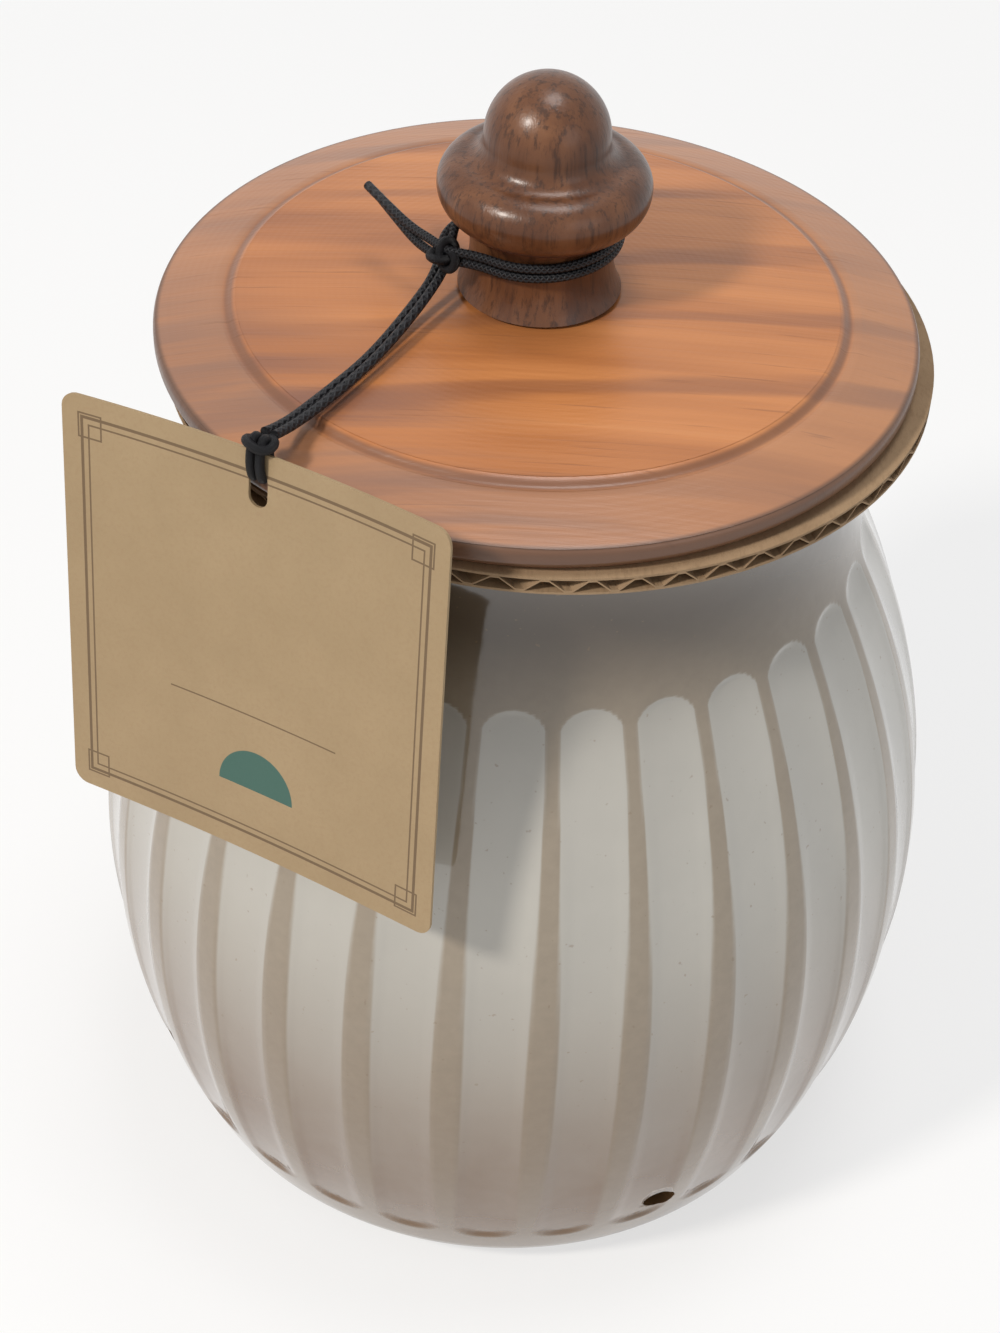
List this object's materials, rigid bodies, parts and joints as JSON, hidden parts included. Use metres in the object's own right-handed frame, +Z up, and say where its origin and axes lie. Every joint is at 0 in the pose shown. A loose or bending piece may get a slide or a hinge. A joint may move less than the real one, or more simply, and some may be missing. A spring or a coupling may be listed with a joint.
{
  "type": "garlic keeper",
  "caption": "Round-bellied fluted stoneware jar with vent holes, a lift-off turned wooden lid with a knob, a corrugated packing ring and a card on a waxed cord.",
  "frame": {"origin": "middle of the jar's foot, on the surface that it stands on", "axes": "+Z up through the knob, -Y towards the side that the picture shows, +X to that side's right"},
  "size_m": [0.152, 0.1571, 0.2142],
  "materials": {
    "glazed_stoneware": "glossy cream glaze over fluted stoneware, warmer on the ridges",
    "acacia_wood": "oiled orange-brown acacia with a satin finish",
    "walnut_wood": "oiled dark walnut with a satin finish",
    "screw_steel": "zinc-plated steel",
    "seal_rubber": "translucent white silicone",
    "corrugated_board": "plain brown corrugated board",
    "kraft_card": "uncoated kraft card with a plain brown double-line border",
    "waxed_cord": "black braided cord, waxed"
  },
  "bodies": {
    "jar": {"jar": "glazed_stoneware"},
    "packing_ring": {"pad_bottom_liner": "corrugated_board", "pad_fluting": "corrugated_board", "pad_top_liner": "corrugated_board"},
    "lid": {"lid": "acacia_wood", "knob": "walnut_wood", "knob_screw": "screw_steel", "lid_seal": "seal_rubber", "cord_a": "waxed_cord", "cord_b": "waxed_cord", "cord_knot": "waxed_cord"},
    "tag": {"hang_tag": "kraft_card", "cord_tag_hitch": "waxed_cord"}
  },
  "joints": [
    {"name": "ring_lift", "type": "slide", "parent": "jar", "child": "packing_ring", "axis": [0, 0, 1], "range_m": [0, 0.04]},
    {"name": "lid_lift", "type": "slide", "parent": "packing_ring", "child": "lid", "axis": [0, 0, 1], "range_m": [0, 0.12]},
    {"name": "tag_swing", "type": "hinge", "parent": "lid", "child": "tag", "pos_m": [-0.03922, -0.04828, 0.17962], "axis": [-0.8611, 0.5032, -0.0732], "range_deg": [0, 80]}
  ]
}
